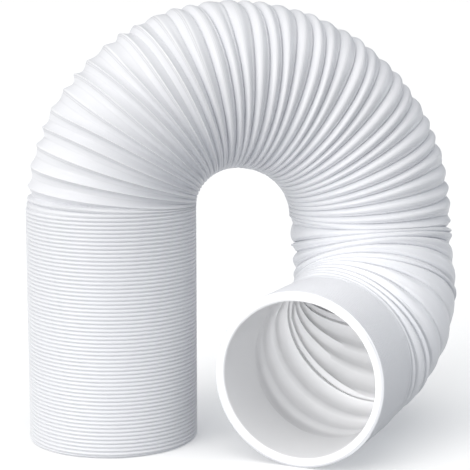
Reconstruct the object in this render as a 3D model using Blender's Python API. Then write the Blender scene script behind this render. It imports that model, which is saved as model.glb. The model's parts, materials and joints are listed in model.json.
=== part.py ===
"""Wide flexible exhaust hose, wound as a left-handed spiral of folded plastic strip.

The folds lie shut in the straight leg and in the straight tail, where a shallow groove
marks every eighth of them, and stand open in the arch and in the bend between them. The
axis of the leg starts at the origin of the centre line and the tail ends at the mouth,
which faces -Y.
"""

import math

import bmesh
import bpy
import numpy as np

# Driving dimensions, in metres and degrees.
BORE_DIAMETER = 0.130
SHUT_DIAMETER = 0.146
RIM_DIAMETER = 0.141
RIM_BORE = 0.1335
RIM_STEP = 0.0016

LEG_HEIGHT = 0.202
ARCH_NEAR = 0.108
ARCH_FAR = 0.130
ARCH_RISE = 0.1025
ARCH_BEARING = 40.2
ARCH_FOLDS = 35
SHUT_LEAD = 0.007

BEND_RADIUS = 0.110
BEND_BULGE = 0.0135
BEND_FOLDS = 13
TAIL_LENGTH = 0.070

# Round the bend, one fold in so many opens only by this share of the others.
BUNCH_FOLDS = 4
BUNCH_SHARE = 0.25

GROOVE_SPACING = 0.026
GROOVE_WIDTH = 0.0033
GROOVE_DEPTH = 0.0014

FLANK_WIDTH = 0.0098
LEAST_FOLD_DEPTH = 0.0035
MOST_FOLD_DEPTH = 0.0066
WALL_THICKNESS = 0.0005

# Fineness of the mesh and of the centre line, the least angle of a sharp edge in degrees, and
# the least curvature in 1/m that counts as a bend.
SIDES = 24
SAMPLES = 600
SHARP_ANGLE = 28
LEAST_CURVATURE = 1e-6


def centre_line():
    """Points along the axis of the hose, from the foot to the mouth, in columns X, Y, Z."""
    shut_radius = SHUT_DIAMETER / 2
    steps = np.linspace(0.0, 1.0, SAMPLES)
    bearing = math.radians(ARCH_BEARING)
    along_arch = np.array([math.cos(bearing), math.sin(bearing), 0.0])
    up = np.array([0.0, 0.0, 1.0])
    forward = np.array([0.0, -1.0, 0.0])

    leg = steps[:, None] * LEG_HEIGHT * up

    turn = steps * math.pi
    bend_top = shut_radius + BEND_RADIUS
    crown = LEG_HEIGHT + ARCH_RISE
    base = np.where(turn < math.pi / 2, LEG_HEIGHT, bend_top)
    reach = np.where(turn < math.pi / 2, ARCH_NEAR, ARCH_FAR)
    out = ARCH_NEAR - reach * np.cos(turn)
    height = base + (crown - base) * np.sin(turn)
    arch = out[:, None] * along_arch + height[:, None] * up

    turn = steps * math.pi / 2
    aside = BEND_BULGE * np.sin(2 * turn) ** 2
    bend = arch[-1] + BEND_RADIUS * (1 - np.cos(turn))[:, None] * forward
    bend -= BEND_RADIUS * np.sin(turn)[:, None] * up
    bend[:, 0] += aside

    tail = bend[-1] + steps[:, None] * TAIL_LENGTH * forward
    return np.concatenate([leg, arch[1:], bend[1:], tail[1:]])


class Route:
    """The centre line with a running length and a frame that never twists about it."""

    def __init__(self, points):
        legs = np.linalg.norm(np.diff(points, axis=0), axis=1)
        self.points = points
        self.length = np.concatenate([[0.0], np.cumsum(legs)])
        tangents = np.gradient(points, self.length, axis=0)
        self.tangents = tangents / np.linalg.norm(tangents, axis=1)[:, None]
        self.sides = self.carried_sides()

    def carried_sides(self):
        """One sideways direction at each point, carried back from straight down at the mouth."""
        sides = np.zeros_like(self.points)
        side = np.array([0.0, 0.0, -1.0])
        for i in range(len(sides) - 1, -1, -1):
            side = side - self.tangents[i] * (side @ self.tangents[i])
            side = side / np.linalg.norm(side)
            sides[i] = side
        return sides

    def curvature(self):
        """Vector of curvature at each point of the line."""
        return np.gradient(self.tangents, self.length, axis=0)

    def at(self, values, place):
        """Rows of values, one for each point of the line, read at the lengths in place."""
        return np.stack([np.interp(place, self.length, values[:, k]) for k in range(3)], axis=1)

    def outward(self, place, turn):
        """Unit directions away from the line, turning with the wind of the strip."""
        tangents = self.at(self.tangents, place)
        sides = self.at(self.sides, place)
        across = np.cross(tangents, sides)
        return np.cos(turn)[:, None] * sides - np.sin(turn)[:, None] * across


class Folds:
    """Where each fold of the open length sits, and how deep and how thick it is there."""

    def __init__(self, route):
        self.route = route
        self.count = ARCH_FOLDS + BEND_FOLDS
        last = SAMPLES - 1
        leg_end, arch_end, bend_end = route.length[[last, 2 * last, 3 * last]]
        self.marks = [leg_end + SHUT_LEAD, arch_end, bend_end]
        self.curvature = route.curvature()
        shares = np.where(np.arange(BEND_FOLDS) % BUNCH_FOLDS == 1, BUNCH_SHARE, 1.0)
        self.bunched = np.concatenate([[0.0], np.cumsum(shares) / np.sum(shares)])

    def lean(self, place, turn):
        """Curvature of the line towards this direction, less than 0 on the outside of a bend."""
        return np.sum(self.route.at(self.curvature, place) * self.route.outward(place, turn), axis=1)

    def place(self, fold, turn):
        """Length along the line at this count of folds, which may hold a part of a fold.

        The folds are spaced evenly, apart from some that stay nearly shut round the bend, all
        but on its inside.
        """
        even = np.interp(fold, [0, ARCH_FOLDS, self.count], self.marks)
        share = np.interp(fold - ARCH_FOLDS, np.arange(BEND_FOLDS + 1), self.bunched)
        bunched = np.where(fold > ARCH_FOLDS, self.marks[1] + share * (self.marks[2] - self.marks[1]), even)
        bend = np.linalg.norm(self.route.at(self.curvature, even), axis=1)
        inside = (1 + self.lean(even, turn) / np.maximum(bend, LEAST_CURVATURE)) / 2
        return even + (bunched - even) * (1 - inside**3)

    def radii(self, fold, turn):
        """Outer crest radius, fold depth and radial wall at this count of folds and turn."""
        before, after = np.clip([fold - 0.5, fold + 0.5], 0, self.count)
        step = (self.place(after, turn) - self.place(before, turn)) / (after - before)
        pitch = step * (1 - self.lean(self.place(fold, turn), turn) * SHUT_DIAMETER / 2)
        reach = np.clip(FLANK_WIDTH**2 - pitch**2 / 4, 0.0, None)
        depth = np.clip(np.sqrt(reach), LEAST_FOLD_DEPTH, MOST_FOLD_DEPTH)
        shut = (SHUT_DIAMETER - BORE_DIAMETER) / 2
        wall = WALL_THICKNESS * np.hypot(depth, pitch / 2) / (pitch / 2)
        wall = np.minimum(wall, shut - depth)
        crest = (SHUT_DIAMETER + BORE_DIAMETER) / 4 + (shut + depth + wall) / 4

        open_share = np.clip(np.minimum(fold, self.count - fold), 0.0, 1.0)
        whole = shut + (depth + wall - shut) * open_share
        depth = depth * open_share
        crest = SHUT_DIAMETER / 2 + (crest - SHUT_DIAMETER / 2) * open_share
        return crest, depth, whole - depth


def ring(route, place, diameter):
    """Points of one flat ring of the tube, at this length along the line."""
    turn = np.arange(SIDES) * 2 * math.pi / SIDES
    place = np.full(SIDES, place)
    return route.at(route.points, place) + diameter / 2 * route.outward(place, turn)


def spiral(route, folds, at_root, inside):
    """Points of one spiral line, on the crests or in the roots, outside or inside the wall."""
    lead = 0.0 if at_root else 0.5
    steps = round((folds.count - 2 * lead) * SIDES)
    fold = lead + np.arange(steps + 1) / SIDES
    turn = (fold - lead) * 2 * math.pi
    place = folds.place(fold, turn)
    crest, depth, wall = folds.radii(fold, turn)
    radius = crest - depth * at_root - wall * inside
    return route.at(route.points, place) + radius[:, None] * route.outward(place, turn)


def grooves(start, end, step):
    """Lengths and diameters of the rings that cut round grooves at even steps from start."""
    rings = []
    for centre in np.arange(start + step, end, step):
        rings.append((centre - GROOVE_WIDTH / 2, SHUT_DIAMETER))
        rings.append((centre, SHUT_DIAMETER - 2 * GROOVE_DEPTH))
        rings.append((centre + GROOVE_WIDTH / 2, SHUT_DIAMETER))
    return rings


def skin(leg, tail, root, crest, mesh_points, mesh_faces):
    """Adds one side of the wall: the leg's rings, the folds, then the tail's rings.

    Returns the point numbers of the first ring and of the last.
    """
    numbers = []
    for points in (*leg, *tail, root, crest):
        numbers.append(range(len(mesh_points), len(mesh_points) + len(points)))
        mesh_points.extend(map(tuple, points))
    leg, tail = numbers[: len(leg)], numbers[len(leg) : -2]
    root, crest = numbers[-2:]

    for near, far in (*zip(leg, leg[1:]), *zip(tail, tail[1:])):
        for j in range(SIDES):
            after = (j + 1) % SIDES
            mesh_faces.append((near[j], near[after], far[after], far[j]))

    last = len(crest) - 1
    for i in range(last):
        mesh_faces.append((root[i], root[i + 1], crest[i + 1], crest[i]))
        mesh_faces.append((crest[i], crest[i + 1], root[i + 1 + SIDES], root[i + SIDES]))

    below, above = leg[-1], tail[0]
    for j in range(SIDES - 1):
        end = last + j
        mesh_faces.append((below[j], below[j + 1], root[j + 1], root[j]))
        mesh_faces.append((root[end], root[end + 1], above[j + 1], above[j]))

    near = root[SIDES - 1]
    mesh_faces.append((below[SIDES - 1], below[0], root[0], near))
    mesh_faces.append((near, root[0], crest[0]))
    mesh_faces.append((near, crest[0], root[SIDES]))

    near = root[last + SIDES - 1]
    mesh_faces.append((near, root[last + SIDES], crest[last]))
    mesh_faces.append((near, crest[last], root[last]))
    mesh_faces.append((near, root[last], above[0], above[SIDES - 1]))
    return leg[0], tail[-1]


def build_hose(collection):
    """The whole hose as one closed mesh, centred over the floor under it."""
    route = Route(centre_line())
    folds = Folds(route)
    end = route.length[-1]
    leg_grooves = grooves(RIM_STEP, folds.marks[0] - GROOVE_WIDTH, GROOVE_SPACING)
    tail_grooves = grooves(end - RIM_STEP, folds.marks[2] + GROOVE_WIDTH, -GROOVE_SPACING)
    leg = [(0.0, RIM_DIAMETER), (RIM_STEP, SHUT_DIAMETER), *leg_grooves]
    tail = [*sorted(tail_grooves), (end - RIM_STEP, SHUT_DIAMETER), (end, RIM_DIAMETER)]
    bore_leg = [(0.0, RIM_BORE), (RIM_STEP, BORE_DIAMETER)]
    bore_tail = [(end - RIM_STEP, BORE_DIAMETER), (end, RIM_BORE)]

    mesh_points, mesh_faces, rims = [], [], []
    for inside, (below, above) in enumerate(((leg, tail), (bore_leg, bore_tail))):
        rings = [[ring(route, *size) for size in sizes] for sizes in (below, above)]
        root = spiral(route, folds, 1, inside)
        crest = spiral(route, folds, 0, inside)
        rims.append(skin(*rings, root, crest, mesh_points, mesh_faces))
    for outer, inner in zip(*rims):
        for j in range(SIDES):
            after = (j + 1) % SIDES
            mesh_faces.append((outer[j], outer[after], inner[after], inner[j]))

    points = np.array(mesh_points)
    low, high = points.min(axis=0), points.max(axis=0)
    points -= [(low[0] + high[0]) / 2, (low[1] + high[1]) / 2, low[2]]

    mesh = bpy.data.meshes.new("hose")
    mesh.from_pydata(points.tolist(), [], mesh_faces)
    turned = bmesh.new()
    turned.from_mesh(mesh)
    bmesh.ops.recalc_face_normals(turned, faces=turned.faces)
    turned.to_mesh(mesh)
    turned.free()
    mesh.shade_smooth()
    mesh.set_sharp_from_angle(angle=math.radians(SHARP_ANGLE))

    hose = bpy.data.objects.new("hose", mesh)
    hose.data.materials.append(white_plastic())
    collection.objects.link(hose)
    return hose


def white_plastic():
    """Satin white plastic of the strip."""
    material = bpy.data.materials.new("white_plastic")
    material.use_nodes = True
    shader = material.node_tree.nodes["Principled BSDF"]
    shader.inputs["Base Color"].default_value = (0.82, 0.82, 0.83, 1.0)
    shader.inputs["Roughness"].default_value = 0.38
    return material


def main():
    """Clears the scene and builds the hose in a collection of its own."""
    for old in list(bpy.data.objects):
        bpy.data.objects.remove(old, do_unlink=True)
    collection = bpy.data.collections.new("exhaust_hose")
    bpy.context.scene.collection.children.link(collection)
    build_hose(collection)


main()
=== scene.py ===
"""Looks of a wide white exhaust hose, wound from folded plastic strip and bent over in an arch."""

import json
import math

import bmesh
import bpy
import numpy as np
from mathutils import Matrix, Vector


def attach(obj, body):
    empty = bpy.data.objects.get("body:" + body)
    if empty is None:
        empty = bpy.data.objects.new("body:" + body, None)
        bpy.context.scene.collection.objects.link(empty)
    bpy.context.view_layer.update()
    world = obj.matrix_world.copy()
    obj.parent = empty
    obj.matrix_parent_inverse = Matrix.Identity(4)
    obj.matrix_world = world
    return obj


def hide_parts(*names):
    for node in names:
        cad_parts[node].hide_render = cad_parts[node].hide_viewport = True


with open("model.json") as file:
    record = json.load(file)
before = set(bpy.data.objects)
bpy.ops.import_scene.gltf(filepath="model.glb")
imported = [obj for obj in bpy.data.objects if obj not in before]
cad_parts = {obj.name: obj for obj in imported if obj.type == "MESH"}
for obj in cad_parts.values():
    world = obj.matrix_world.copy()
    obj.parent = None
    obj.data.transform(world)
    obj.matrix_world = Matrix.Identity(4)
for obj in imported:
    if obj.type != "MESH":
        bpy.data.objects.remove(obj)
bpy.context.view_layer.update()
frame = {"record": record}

bl_info = {
    "name": "Folded exhaust hose",
    "version": (1, 0, 0),
    "blender": (4, 5, 0),
    "location": "View3D > Sidebar > Hose",
    "description": "Dresses the packed exhaust hose and sets a pale studio round it",
    "category": "Object",
}

MOUNTS = {mount["name"]: Vector(mount["pos_m"]) for mount in frame["record"]["mounts"]}

# The photograph looks along +Y, turned by this angle about the leg's middle.
TO_PHOTO = math.radians(23.5)
# The foot's mount lies on its ring, this far towards -X from the leg's middle.
FROM_FOOT = 0.0683
# Points of the mesh that lie nearer than this to each other are one point.
MERGE_DISTANCE = 1e-6
# A route that curves less than this counts as straight.
LEAST_CURVATURE = 1e-6
# Angle between two faces past which the edge between them is sharp.
SHARP_ANGLE = math.radians(50)
WHITE = (1.0, 1.0, 1.0, 1.0)


def length(label, text, value):
    """A length in metres that a user can change."""
    return bpy.props.FloatProperty(name=label, description=text, default=value, unit="LENGTH", precision=4)


def count(label, text, value):
    """A whole number that a user can change."""
    return bpy.props.IntProperty(name=label, description=text, default=value, min=1)


def angle(label, text, degrees):
    """An angle that a user can change, given in degrees."""
    value = math.radians(degrees)
    return bpy.props.FloatProperty(name=label, description=text, default=value, subtype="ANGLE")


def share_of(label, text, value):
    """A share from 0 to 1 that a user can change."""
    bounds = {"min": 0, "max": 1, "subtype": "FACTOR"}
    return bpy.props.FloatProperty(name=label, description=text, default=value, **bounds)


def strength_of(label, text, value):
    """The strength of a light that a user can change."""
    return bpy.props.FloatProperty(name=label, description=text, default=value, min=0)


class HoseSizes(bpy.types.PropertyGroup):
    """Sizes of the hose, the same as those of its solid."""

    bore: length("Bore", "Clear diameter inside the folds", 0.130)
    shut_width: length("Shut diameter", "Diameter over the crests of shut folds", 0.146)
    rim_width: length("Rim diameter", "Diameter of the flat ring at each end", 0.141)
    rim_bore: length("Rim bore", "Clear diameter of the flat ring at each end", 0.1335)
    rim_step: length("Rim step", "Length over which the rim widens to the folds", 0.0016)
    leg: length("Leg height", "Height of the straight standing leg", 0.202)
    lead: length("Shut lead", "How far the shut folds run on into the arch", 0.007)
    arch_near: length("Near reach", "From the leg out to the arch's crown", 0.108)
    arch_far: length("Far reach", "From the arch's crown out to the bend", 0.130)
    arch_rise: length("Arch rise", "Height of the arch's crown over the leg", 0.1025)
    arch_bearing: angle("Arch bearing", "Direction of the arch seen from above, from +X", 40.2)
    bend: length("Bend radius", "Radius of the bend down to the floor", 0.110)
    bulge: length("Bend bulge", "How far the bend swings sideways", 0.0135)
    tail: length("Tail length", "Length of shut folds behind the mouth", 0.070)
    flank: length("Flank width", "Width of one side of a fold", 0.0098)
    leg_folds: count("Leg folds", "Shut folds in the leg", 64)
    arch_folds: count("Arch folds", "Open folds in the arch", 35)
    bend_folds: count("Bend folds", "Folds in the bend", 13)
    tail_folds: count("Tail folds", "Shut folds in the tail", 21)
    bunch_folds: count("Bunch", "Round the bend, one fold in so many stays nearly shut", 4)
    bunch_share: share_of("Bunch share", "How far such a fold opens, as a share of the others", 0.25)


class HoseFinish(bpy.types.PropertyGroup):
    """Colour and gloss of the plastic strip."""

    plastic: bpy.props.FloatVectorProperty(
        name="Plastic",
        description="Colour of the strip",
        default=(0.79, 0.80, 0.83),
        size=3,
        min=0,
        max=1,
        subtype="COLOR",
    )
    roughness: share_of("Roughness", "Gloss of the strip", 0.36)


class HoseStage(bpy.types.PropertyGroup):
    """Camera, floor and lights."""

    lens: bpy.props.FloatProperty(name="Lens", description="Focal length in millimetres", default=114.2)
    camera_side: length("Camera side", "How far the camera stands right of the leg", 0.106)
    camera_back: length("Camera distance", "How far the camera stands before the leg", 1.266)
    camera_height: length("Camera height", "Height of the camera over the floor", 0.375)
    camera_pitch: angle("Camera pitch", "How far the camera looks down", 8.9)
    top: strength_of("Top light", "Strength of the overhead light", 0.95)
    key: strength_of("Key light", "Strength of the left light", 1.2)
    rim: strength_of("Rim light", "Strength of the right light", 0.45)
    bore: strength_of("Bore light", "Power of the lamp before the mouth, in watts", 32.0)
    sky: strength_of("Sky", "Strength of the white light from the left", 0.9)
    shade: share_of("Shade", "The same from the right, as a share", 0.35)


def smooth_step(value, low, high):
    """0 below low, 1 above high, and 3t^2 - 2t^3 between them."""
    share = np.clip((value - low) / (high - low), 0.0, 1.0)
    return share * share * (3 - 2 * share)


class Route:
    """Centre line of the hose, its running length and a frame that never twists about it."""

    SAMPLES = 600

    def __init__(self, sizes):
        self.points = self.centre_line(sizes)
        steps = np.linalg.norm(np.diff(self.points, axis=0), axis=1)
        self.length = np.concatenate([[0.0], np.cumsum(steps)])
        tangents = np.gradient(self.points, self.length, axis=0)
        self.tangents = tangents / np.linalg.norm(tangents, axis=1)[:, None]
        self.curvature = np.gradient(self.tangents, self.length, axis=0)
        self.sides = self.carried_sides()
        last = self.SAMPLES - 1
        self.marks = self.length[[0, last, 2 * last, 3 * last, 4 * last]]

    def centre_line(self, sizes):
        """A straight leg, two quarter ellipses for the arch, a quarter circle and a straight tail.

        The arch runs out as near - reach cos t, with the near or the far reach on each side of
        its crown, and up as sin t over half a turn. The bend swings sideways by the bulge
        times sin^2 2t. The mouth's middle is where its mount says.
        """
        t = np.linspace(0.0, 1.0, self.SAMPLES)
        out = np.array([math.cos(sizes.arch_bearing), math.sin(sizes.arch_bearing), 0.0])
        up = np.array([0.0, 0.0, 1.0])
        forward = np.array([0.0, -1.0, 0.0])
        mouth = np.array([MOUNTS["mouth_rim"].x, MOUNTS["mouth_rim"].y, 0.0])
        foot = mouth - out * (sizes.arch_near + sizes.arch_far) - forward * (sizes.bend + sizes.tail)

        leg = foot + t[:, None] * sizes.leg * up
        turn = t * math.pi
        bend_top = sizes.shut_width / 2 + sizes.bend
        crown = sizes.leg + sizes.arch_rise
        base = np.where(turn < math.pi / 2, sizes.leg, bend_top)
        height = base + (crown - base) * np.sin(turn)
        reach = np.where(turn < math.pi / 2, sizes.arch_near, sizes.arch_far)
        arch = foot + (sizes.arch_near - reach * np.cos(turn))[:, None] * out + height[:, None] * up
        turn = t * math.pi / 2
        bend = arch[-1] + (sizes.bend * (1 - np.cos(turn)))[:, None] * forward
        bend -= (sizes.bend * np.sin(turn))[:, None] * up
        bend[:, 0] += sizes.bulge * np.sin(2 * turn) ** 2
        tail = bend[-1] + t[:, None] * sizes.tail * forward
        return np.concatenate([leg, arch[1:], bend[1:], tail[1:]])

    def carried_sides(self):
        """A sideways direction at each sample, carried back from straight down at the mouth."""
        sides = np.zeros_like(self.points)
        side = np.array([0.0, 0.0, -1.0])
        for i in range(len(sides) - 1, -1, -1):
            side = side - self.tangents[i] * (side @ self.tangents[i])
            side = side / np.linalg.norm(side)
            sides[i] = side
        return sides

    def at(self, values, place):
        """The samples' rows of values, read at the lengths in place."""
        return np.stack([np.interp(place, self.length, values[:, k]) for k in range(3)], axis=-1)

    def outward(self, place, turn):
        """Unit directions away from the centre line, turned left-handed by turn."""
        tangents = self.at(self.tangents, place)
        sides = self.at(self.sides, place)
        across = np.cross(tangents, sides)
        return np.cos(turn)[..., None] * sides - np.sin(turn)[..., None] * across


class Folds:
    """Where each fold sits on the route, and the radius of its outer and inner surface."""

    # Phases of a rounded fold's crest and of the crease beside it.
    CREST = 0.45
    CREASE = 0.78
    # Shares of the fold's depth: down to the crease, and how hollow the band below it is.
    CREASE_DEPTH = 0.5
    BAND_HOLLOW = 0.1
    # The power that draws a sharp fold's crest to a point.
    SHARPNESS = 1.7
    # Open folds after the leg that are sharp, and the one from which all are rounded.
    SHARP_FOLDS = 8
    ROUND_FOLDS = 13
    # How far a fold strays along the hose, and over how many folds that fades out.
    WANDER = 0.0009
    WANDER_FADE = 4.0
    # Bounds of an open fold's spread, and how much of it shows as depth.
    LEAST_SPREAD = 0.0035
    MOST_SPREAD = 0.0066
    DEPTH_SHARE = 0.75
    # Depth of a shut groove, and how fast it deepens past so many shut pitches.
    GROOVE_DEPTH = 0.0013
    GROOVE_GROWTH = 1.1
    GROOVE_OPENS = 1.1
    # Pitches, in shut ones, between which a fold goes from shut to open.
    OPENING = (1.2, 2.2)
    # How far a stretched crest sinks, the pitches between which it does, and an unevenness.
    CREST_SINKS = 0.0008
    SINKING = (0.008, 0.018)
    CREST_STRAYS = 0.0003
    # Thickness of the open wall, and depth of the shut folds seen from the bore.
    WALL = 0.0009
    INNER_GROOVE = 0.0004

    def __init__(self, sizes, route):
        self.sizes = sizes
        self.route = route
        counts = [sizes.leg_folds, sizes.arch_folds, sizes.bend_folds, sizes.tail_folds]
        self.starts = np.concatenate([[0], np.cumsum(counts)]).astype(float)
        self.total = int(self.starts[-1])
        self.marks = route.marks + sizes.lead * np.array([0, 1, 0, 0, 0])
        self.shut_pitch = self.marks[1] / sizes.leg_folds
        bunched = np.arange(sizes.bend_folds) % sizes.bunch_folds == 1
        shares = np.where(bunched, sizes.bunch_share, 1.0)
        self.bunched = np.concatenate([[0.0], np.cumsum(shares) / np.sum(shares)])

    def lean(self, place, turn):
        """How much the route curves towards this side of the hose, and how much it curves in all."""
        curve = self.route.at(self.route.curvature, place)
        return np.sum(curve * self.route.outward(place, turn), axis=-1), np.linalg.norm(curve, axis=-1)

    def place(self, fold, turn):
        """Length along the route at this count of folds.

        The folds are even within each stretch of the hose. Round the bend, all but on its
        inside, the bunched ones take their share instead, by 1 - i^3 with i from 0 outside to
        1 inside. In the open length all wander by a slow sine.
        """
        even = np.interp(fold, self.starts, self.marks)
        start, end = self.marks[2:4]
        share = np.interp(fold - self.starts[2], np.arange(len(self.bunched)), self.bunched)
        in_bend = (fold > self.starts[2]) & (fold < self.starts[3])
        shift = np.where(in_bend, start + share * (end - start) - even, 0.0)
        lean, bend = self.lean(even, turn)
        inside = (1 + lean / np.maximum(bend, LEAST_CURVATURE)) / 2
        from_ends = np.minimum(fold - self.starts[1], self.starts[3] - fold)
        wander = self.WANDER * np.sin(1.9 * fold + 2 * np.cos(turn))
        return even + shift * (1 - inside**3) + wander * smooth_step(from_ends, 0.0, self.WANDER_FADE)

    def pitch(self, fold, turn):
        """Distance from one fold to the next at the crest, longer outside a bend than inside it."""
        step = self.place(fold + 0.5, turn) - self.place(fold - 0.5, turn)
        lean, _ = self.lean(self.place(fold, turn), turn)
        return step * (1 - lean * self.sizes.shut_width / 2)

    def fall(self, fold, phase, opened):
        """Share of the fold's depth below the crest at a phase, 1 in the roots at 0 and 1.

        With a the distance from the middle, 0 to 1, a shut fold falls as a^3 and a sharp open
        one as 1 - (1 - a)^s, with s the sharpness. A rounded fold falls as a square to its root
        on one side and part of the way to a crease on the other, past which a narrow hollow
        band runs into the root.
        """
        away = np.abs(2 * phase - 1)
        sharp = 1 - (1 - away) ** self.SHARPNESS
        before = np.clip(1 - phase / self.CREST, 0.0, 1.0)
        after = np.clip((phase - self.CREST) / (self.CREASE - self.CREST), 0.0, 1.0)
        band = np.clip((phase - self.CREASE) / (1 - self.CREASE), 0.0, 1.0)
        rounded = before**2 + self.CREASE_DEPTH * after**2 + (1 - self.CREASE_DEPTH) * band**2
        rounded -= self.BAND_HOLLOW * np.sin(math.pi * band)
        share = smooth_step(fold - self.starts[1], self.SHARP_FOLDS, self.ROUND_FOLDS)
        return away**3 + (sharp + (rounded - sharp) * share - away**3) * opened

    def radii(self, fold, phase, turn):
        """Outer and inner radius at a phase of a fold, 0 and 1 in the root and 0.5 on the crest.

        The spread is the short side of a right triangle whose long side is the flank and whose
        third side is half the pitch. The depth is a share of it, held to a shallow groove where
        the folds lie shut.
        """
        sizes = self.sizes
        pitch = self.pitch(fold, turn)
        widest = np.clip(sizes.flank**2 - pitch**2 / 4, self.LEAST_SPREAD**2, self.MOST_SPREAD**2)
        past_shut = np.clip(pitch - self.shut_pitch * self.GROOVE_OPENS, 0.0, None)
        groove = self.GROOVE_DEPTH + self.GROOVE_GROWTH * past_shut
        depth = np.minimum(np.sqrt(widest) * self.DEPTH_SHARE, groove)
        opened = smooth_step(pitch, *(self.shut_pitch * pitches for pitches in self.OPENING))
        crest = sizes.shut_width / 2 - self.CREST_SINKS * smooth_step(pitch, *self.SINKING)
        crest -= self.CREST_STRAYS * (1 + np.sin(2.3 * fold + turn)) * opened
        outer = crest - depth * self.fall(fold, phase, opened)

        away = np.abs(2 * phase - 1)
        inner_shut = sizes.bore / 2 + self.INNER_GROOVE * (1 - away)
        inner_open = outer - self.WALL
        inner = inner_shut + (inner_open - inner_shut) * opened
        return outer, inner


class Patches:
    """Grids of points that make up the mesh, with the strip's own UV map."""

    def __init__(self):
        self.points, self.faces, self.uv = [], [], []
        self.first = 0

    def add(self, points, uv, flip):
        """One grid of points, rows by columns, with a face between each four neighbours."""
        rows, columns = points.shape[:2]
        corner = self.first + np.arange(rows - 1)[:, None] * columns + np.arange(columns - 1)[None, :]
        after = corner + columns
        faces = np.stack([corner, after, after + 1, corner + 1], axis=-1).reshape(-1, 4)
        faces = faces[:, ::-1] if flip else faces
        self.points.append(points.reshape(-1, 3))
        self.faces.append(faces)
        self.uv.append(uv.reshape(-1, 2)[faces - self.first])
        self.first += rows * columns

    def joined(self):
        """All points, faces and corner coordinates of the map."""
        return np.concatenate(self.points), np.concatenate(self.faces), np.concatenate(self.uv)


def strip_points(folds, winding, phases, inside):
    """Points of the wound strip: one row for each step of the winding, one column for each phase.

    The point at winding w, counted in folds, and phase p lies at fold w + p, turned by w whole
    turns, so the last column of a row meets the first column of the row one turn later. Points
    before the foot or past the mouth are held on the flat ring there, whose edges widen to the
    folds over the rim step.
    """
    sizes, route = folds.sizes, folds.route
    fold = np.clip(winding[:, None] + phases, 0, folds.total)
    turn = np.broadcast_to(2 * math.pi * (winding[:, None] % 1.0), fold.shape)
    place = folds.place(fold, turn)
    radius = folds.radii(fold, phases, turn)[inside]
    widened = np.clip(np.minimum(place, route.length[-1] - place) / sizes.rim_step, 0.0, 1.0)
    if inside:
        radius = np.maximum(radius, (sizes.rim_bore + (sizes.bore - sizes.rim_bore) * widened) / 2)
    else:
        radius = np.minimum(radius, (sizes.rim_width + (sizes.shut_width - sizes.rim_width) * widened) / 2)
    return route.at(route.points, place) + radius[..., None] * route.outward(place, turn)


def nearest(values, marks):
    """Each value moved to the nearest mark."""
    return marks[np.argmin(np.abs(values[..., None] - marks), axis=-1)]


def strip_side(patches, folds, around, shut, sharp, rounded, inside):
    """One side of the strip: the shut leg, the open length, and the shut tail.

    The shut lengths have few columns. The open one has more, which glide from the sharp folds'
    phases to the rounded ones', and meet the shut ones' in its first and last row.
    """
    start, end = int(folds.starts[1]) - 1, int(folds.starts[3])
    for low, high in ((-1, start), (end, folds.total + 1)):
        winding = low + np.arange((high - low) * around + 1) / around
        phases = np.broadcast_to(shut, (len(winding), len(shut)))
        add_strip(patches, folds, winding, phases, inside)

    winding = start + np.arange((end - start) * around + 1) / around
    share = smooth_step(winding - folds.starts[1], folds.SHARP_FOLDS, folds.ROUND_FOLDS)
    phases = sharp + (rounded - sharp) * share[:, None]
    phases[[0, -1]] = nearest(phases[[0, -1]], shut)
    add_strip(patches, folds, winding, phases, inside)


def add_strip(patches, folds, winding, phases, inside):
    """A stretch of the strip, mapped by its winding and its phase, with 2 added inside the bore."""
    uv = np.stack([np.broadcast_to(winding[:, None], phases.shape), phases + 2 * inside], axis=-1)
    patches.add(strip_points(folds, winding, phases, inside), uv, bool(inside))


def end_ring(patches, folds, around, place, flip):
    """The flat ring at one end, between the rim's diameter and the rim's bore."""
    sizes, route = folds.sizes, folds.route
    turn = np.repeat(np.arange(around + 1)[:, None] * 2 * math.pi / around, 2, axis=1)
    place = np.full(turn.shape, place)
    radius = np.broadcast_to(np.array([sizes.rim_width, sizes.rim_bore]) / 2, turn.shape)
    points = route.at(route.points, place) + radius[..., None] * route.outward(place, turn)
    patches.add(points, np.full((*turn.shape, 2), 4.0), flip)


def hose_mesh(sizes):
    """Both sides of the wall and the flat rings at the two ends, as one closed mesh.

    The columns of the strip are the phases listed for shut, sharp and rounded folds.
    """
    around = 64
    folds = Folds(sizes, Route(sizes))
    patches = Patches()
    shut = np.array([0, 0.12, 0.35, 0.65, 0.88, 1])
    sharp = np.array([0, 0.05, 0.15, 0.27, 0.38, 0.45, 0.5, 0.55, 0.64, 0.76, 0.9, 1])
    rounded = np.array([0, 0.04, 0.14, 0.26, 0.38, 0.45, 0.54, 0.68, 0.78, 0.83, 0.92, 1])
    strip_side(patches, folds, around, shut, sharp, rounded, 0)
    shut_inside = np.array([0, 0.5, 1])
    sharp_inside = sharp[[0, 2, 4, 7, 9, 11]]
    rounded_inside = rounded[[0, 2, 4, 6, 8, 11]]
    strip_side(patches, folds, around, shut_inside, sharp_inside, rounded_inside, 1)
    end_ring(patches, folds, around, 0.0, True)
    end_ring(patches, folds, around, folds.route.length[-1], False)
    return patches.joined()


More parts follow.
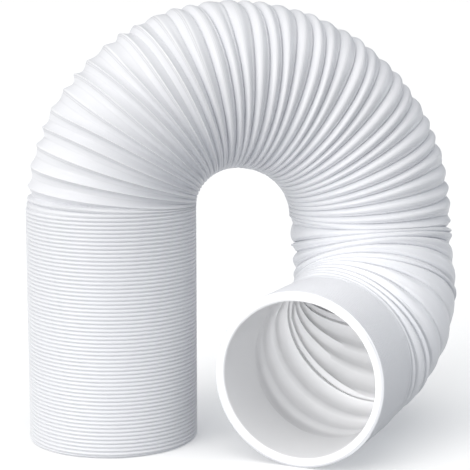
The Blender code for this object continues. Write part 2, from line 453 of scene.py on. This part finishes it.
def mesh_object(name, points, faces, uv):
    """A smooth mesh object with one UV map, its coinciding points made one."""
    mesh = bpy.data.meshes.new(name)
    mesh.vertices.add(len(points))
    mesh.vertices.foreach_set("co", points.astype(np.float32).ravel())
    mesh.loops.add(faces.size)
    mesh.loops.foreach_set("vertex_index", faces.astype(np.int32).ravel())
    mesh.polygons.add(len(faces))
    mesh.polygons.foreach_set("loop_start", np.arange(0, faces.size, 4, dtype=np.int32))
    layer = mesh.uv_layers.new(name="strip")
    layer.data.foreach_set("uv", uv.astype(np.float32).ravel())
    mesh.update(calc_edges=True)
    work = bmesh.new()
    work.from_mesh(mesh)
    bmesh.ops.remove_doubles(work, verts=work.verts, dist=MERGE_DISTANCE)
    work.to_mesh(mesh)
    work.free()
    mesh.shade_smooth()
    mesh.set_sharp_from_angle(angle=SHARP_ANGLE)
    piece = bpy.data.objects.new(name, mesh)
    bpy.context.scene.collection.objects.link(piece)
    return piece


class Value:
    """A shader socket that can be used in plain arithmetic."""

    def __init__(self, tree, socket):
        self.tree = tree
        self.socket = socket

    def _math(self, operation, first, second):
        return self.tree.node("ShaderNodeMath", {"operation": operation}, {0: first, 1: second})

    def __add__(self, other):
        return self._math("ADD", self, other)

    def __radd__(self, other):
        return self._math("ADD", other, self)

    def __sub__(self, other):
        return self._math("SUBTRACT", self, other)

    def __rsub__(self, other):
        return self._math("SUBTRACT", other, self)

    def __mul__(self, other):
        return self._math("MULTIPLY", self, other)

    def __rmul__(self, other):
        return self._math("MULTIPLY", other, self)

    def __abs__(self):
        return self._math("ABSOLUTE", self, 0.0)


class Shader:
    """Node tree of a material or of the world, with one method that makes any node."""

    def __init__(self, owner, surface="Principled BSDF"):
        owner.use_nodes = True
        self.nodes = owner.node_tree.nodes
        self.links = owner.node_tree.links
        self.surface = self.nodes[surface]

    def node(self, kind, settings=None, sockets=None, output=0):
        """A node of this kind, with its settings made first and then its sockets set or linked."""
        made = self.nodes.new(kind)
        for key, value in (settings or {}).items():
            setattr(made, key, value)
        self.feed(made, sockets or {})
        return Value(self, made.outputs[output])

    def feed(self, node, sockets):
        """Sets or links the sockets of a node."""
        for key, value in sockets.items():
            if isinstance(value, Value):
                self.links.new(value.socket, node.inputs[key])
            else:
                node.inputs[key].default_value = value

    def blend(self, share, first, second):
        """The first colour where share is 0 and the second where it is 1."""
        return self.node("ShaderNodeMix", {"data_type": "RGBA"}, {0: share, 6: first, 7: second}, output=2)

    def between(self, value, low, high, start=0.0, end=1.0):
        """A smooth step from start, where value is low, to end, where it is high."""
        settings = {"interpolation_type": "SMOOTHSTEP"}
        return self.node("ShaderNodeMapRange", settings, {0: value, 1: low, 2: high, 3: start, 4: end})


def plastic(finish, sizes):
    """Satin white plastic with a faint uneven tone, painted shade in its grooves and painted light in the
    bore.

    Two drawn lines run beside each crest, and show most where the leg opens into the arch, as does a
    painted highlight on each crest. Each line is a smooth bump in the phase, 1 on the line and 0 at a
    small distance from it.
    """
    material = bpy.data.materials.new("strip_plastic")
    shader = Shader(material)
    uv = shader.node("ShaderNodeUVMap", {"uv_map": "strip"})
    winding = shader.node("ShaderNodeSeparateXYZ", None, {0: uv}, output=0)
    across = shader.node("ShaderNodeSeparateXYZ", None, {0: uv}, output=1)
    place = shader.node("ShaderNodeTexCoord", output=3)

    tone = shader.node("ShaderNodeTexNoise", None, {"Vector": place, "Scale": 9.0, "Detail": 3.0})
    cloud = shader.node("ShaderNodeTexNoise", None, {"Vector": place, "Scale": 60.0, "Detail": 4.0})
    grain = shader.node("ShaderNodeTexNoise", None, {"Vector": place, "Scale": 900.0, "Detail": 2.0})
    lines = sum(shader.between(abs(across - line), 0.0, 0.03, 1.0, 0.0) for line in (0.34, 0.42))
    first = sizes.leg_folds
    fading = shader.between(winding, first + 10, first + 15, 1.0, 0.0)
    drawn = shader.between(winding, first - 1, first + 1) * fading
    seam = lines * (drawn * 0.7 + 0.3)

    color = tuple(finish.plastic) + (1.0,)
    shade = tuple(channel * 0.94 for channel in finish.plastic) + (1.0,)
    # Darker colour, for the drawn seam lines and for the painted shade in the grooves.
    line = tuple(channel * 0.8 for channel in finish.plastic) + (1.0,)
    # Paler colour, for the painted light in the bore and the painted highlight on the crests.
    pale_painted_light = tuple(1 - (1 - channel) * 0.4 for channel in finish.plastic) + (1.0,)
    # Painted light: inside the bore and on the flat end rings the colour is paler.
    inside = shader.between(across, 1.4, 1.6)
    # Painted highlight: a pale line along each crest where the leg opens into the arch.
    painted_ridge_highlight = shader.between(abs(across - 0.5), 0.0, 0.06, 1.0, 0.0) * drawn
    # Painted shade: the colour darkens towards each fold's root, where the folds hide each other.
    groove = shader.between(abs(across - 0.5), 0.43, 0.5)
    relief = grain * 0.05 + cloud * 0.2 - seam * 1.2
    bump = shader.node("ShaderNodeBump", None, {"Strength": 0.5, "Distance": 0.0005, "Height": relief})
    # The seam lines darken the colour, and the roots take painted shade.
    marked = shader.blend(seam * 0.6 + groove * 0.25, shader.blend(tone * 0.5, color, shade), line)
    shader.feed(
        shader.surface,
        {
            "Base Color": shader.blend(inside + painted_ridge_highlight * 0.6, marked, pale_painted_light),
            "Roughness": cloud * 0.12 + (finish.roughness - 0.06),
            "Normal": bump,
            "IOR": 1.49,
        },
    )
    return material


class HOSE_OT_hose(bpy.types.Operator):
    """Builds the wound hose with all its folds, in place of the plain solid."""

    bl_idname = "hose.hose"
    bl_label = "Hose"

    def execute(self, context):
        points, faces, uv = hose_mesh(context.scene.hose_sizes)
        piece = mesh_object("hose_strip", points, faces, uv)
        piece.data.materials.append(plastic(context.scene.hose_finish, context.scene.hose_sizes))
        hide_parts("hose")
        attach(piece, "root")
        return {"FINISHED"}


def far_light(name, source, spread, strength, color):
    """A far soft light that shines from a direction, spread over an angle in degrees."""
    light = bpy.data.lights.new(name, "SUN")
    light.angle = math.radians(spread)
    light.energy = strength
    light.color = color
    lamp = bpy.data.objects.new(name, light)
    lamp.rotation_euler = source.to_track_quat("Z", "Y").to_euler()
    bpy.context.scene.collection.objects.link(lamp)
    return lamp


def near_light(name, place, target, spread, power):
    """A soft lamp with a narrow cone, in degrees, that shines from place to target."""
    light = bpy.data.lights.new(name, "SPOT")
    light.spot_size = math.radians(spread)
    light.spot_blend = 0.7
    light.shadow_soft_size = 0.12
    light.energy = power
    lamp = bpy.data.objects.new(name, light)
    lamp.location = place
    lamp.rotation_euler = (place - target).to_track_quat("Z", "Y").to_euler()
    bpy.context.scene.collection.objects.link(lamp)
    return lamp


def floor_mesh():
    """A flat round floor of rings, each ten times as wide as the one inside it."""
    steps = 48
    turn = np.arange(steps) * 2 * math.pi / steps
    circle = np.stack([np.cos(turn), np.sin(turn), np.zeros(steps)], axis=-1)
    points = np.concatenate([circle * radius for radius in (0.6, 6.0, 60.0, 600.0)])
    near, after = np.arange(steps), (np.arange(steps) + 1) % steps
    faces = [list(range(steps))]
    for ring in range(3):
        first = ring * steps
        quads = np.stack([first + near, first + steps + near, first + steps + after, first + after], axis=-1)
        faces.extend(quads.tolist())
    mesh = bpy.data.meshes.new("floor")
    mesh.from_pydata(points.tolist(), [], faces)
    return mesh


def lay_floor():
    """The pale paper floor. It takes light and shadow, but throws no light back at the hose."""
    floor = bpy.data.objects.new("floor", floor_mesh())
    bpy.context.scene.collection.objects.link(floor)
    floor.visible_diffuse = False
    paper = bpy.data.materials.new("floor_paper")
    sheet = Shader(paper)
    glow = {"Emission Color": (0.96, 0.98, 1, 1), "Emission Strength": 0.16}
    sheet.feed(sheet.surface, {"Base Color": (0.92, 0.92, 0.92, 1), "Roughness": 0.9, **glow})
    floor.data.materials.append(paper)


def hang_lamps(stage, turned, mouth):
    """Three far soft lights, from directions as the camera sees them, and a lamp before the mouth."""
    lamps = [
        ("top", (-0.1, -0.2, 1.0), 60.0, stage.top, (1.0, 0.985, 0.965)),
        ("key", (-0.7, -0.7, 0.35), 40.0, stage.key, (1.0, 0.975, 0.945)),
        ("rim", (1.0, 0.4, 0.3), 30.0, stage.rim, (0.95, 0.975, 1.0)),
    ]
    for name, source, spread, strength, color in lamps:
        far_light(name, turned.to_3x3() @ Vector(source), spread, strength, color)
    near_light("bore", mouth + Vector((0.1, -1.2, 0.12)), mouth, 16.0, stage.bore)


def paint_sky(stage, turned):
    """A pale world, brighter and whiter from the left, with a white band at the horizon."""
    world = bpy.data.worlds.new("studio")
    sky = Shader(world, "Background")
    direction = sky.node("ShaderNodeTexCoord")
    leftward = {0: direction, 1: tuple(turned.to_3x3() @ Vector((-0.75, -0.55, 0.3)))}
    facing = sky.node("ShaderNodeVectorMath", {"operation": "DOT_PRODUCT"}, leftward, output=1)
    lit = facing * 0.5 + 0.5
    height = abs(sky.node("ShaderNodeSeparateXYZ", None, {0: direction}, output=2))
    horizon = sky.between(height, 0.01, 0.08, 1.0, 0.0)
    strength = (lit * lit * (1.0 - stage.shade) + stage.shade) * stage.sky
    tint = sky.blend(horizon, sky.blend(lit, (0.88, 0.93, 1.0, 1.0), WHITE), WHITE)
    sky.feed(sky.surface, {"Color": tint, "Strength": strength * (1.0 - horizon) + horizon})
    bpy.context.scene.world = world


def place_camera(stage, turned):
    """The photograph's camera, level sideways and looking a little down."""
    lens = bpy.data.cameras.new("camera")
    lens.sensor_width = 36.0
    lens.lens = stage.lens
    camera = bpy.data.objects.new("camera", lens)
    camera.location = turned @ Vector((stage.camera_side, -stage.camera_back, stage.camera_height))
    camera.rotation_euler = (math.pi / 2 - stage.camera_pitch, 0, TO_PHOTO)
    bpy.context.scene.collection.objects.link(camera)
    bpy.context.scene.camera = camera


class HOSE_OT_stage(bpy.types.Operator):
    """Lays the pale floor and sets the lights and the camera."""

    bl_idname = "hose.stage"
    bl_label = "Stage"

    def execute(self, context):
        stage = context.scene.hose_stage
        foot = MOUNTS["foot_rim"] + Vector((FROM_FOOT, 0, 0))
        turned = Matrix.Translation(foot) @ Matrix.Rotation(TO_PHOTO, 4, "Z")
        rim = MOUNTS["mouth_rim"]
        lay_floor()
        hang_lamps(stage, turned, Vector((rim.x, rim.y, context.scene.hose_sizes.shut_width / 2)))
        paint_sky(stage, turned)
        context.scene.view_settings.view_transform = "Standard"
        place_camera(stage, turned)
        return {"FINISHED"}


class HOSE_PT_panel(bpy.types.Panel):
    """Lists the hose's sizes, finish and stage with their builders."""

    bl_idname = "HOSE_PT_panel"
    bl_label = "Exhaust hose"
    bl_space_type = "VIEW_3D"
    bl_region_type = "UI"
    bl_category = "Hose"

    def draw(self, context):
        layout = self.layout
        for group in (context.scene.hose_sizes, context.scene.hose_finish, context.scene.hose_stage):
            column = layout.column(align=True)
            for key in type(group).__annotations__:
                column.prop(group, key)
        layout.operator(HOSE_OT_hose.bl_idname)
        layout.operator(HOSE_OT_stage.bl_idname)


GROUPS = {"hose_sizes": HoseSizes, "hose_finish": HoseFinish, "hose_stage": HoseStage}
CLASSES = (*GROUPS.values(), HOSE_OT_hose, HOSE_OT_stage, HOSE_PT_panel)


def register():
    """Registers the classes and puts the three groups on the scene."""
    for part in CLASSES:
        bpy.utils.register_class(part)
    for name, group in GROUPS.items():
        setattr(bpy.types.Scene, name, bpy.props.PointerProperty(type=group))


def unregister():
    """Takes the groups and the classes away again."""
    for name in GROUPS:
        delattr(bpy.types.Scene, name)
    for part in reversed(CLASSES):
        bpy.utils.unregister_class(part)


def main():
    register()
    bpy.ops.hose.hose()
    bpy.ops.hose.stage()


if __name__ == "__main__":
    main()
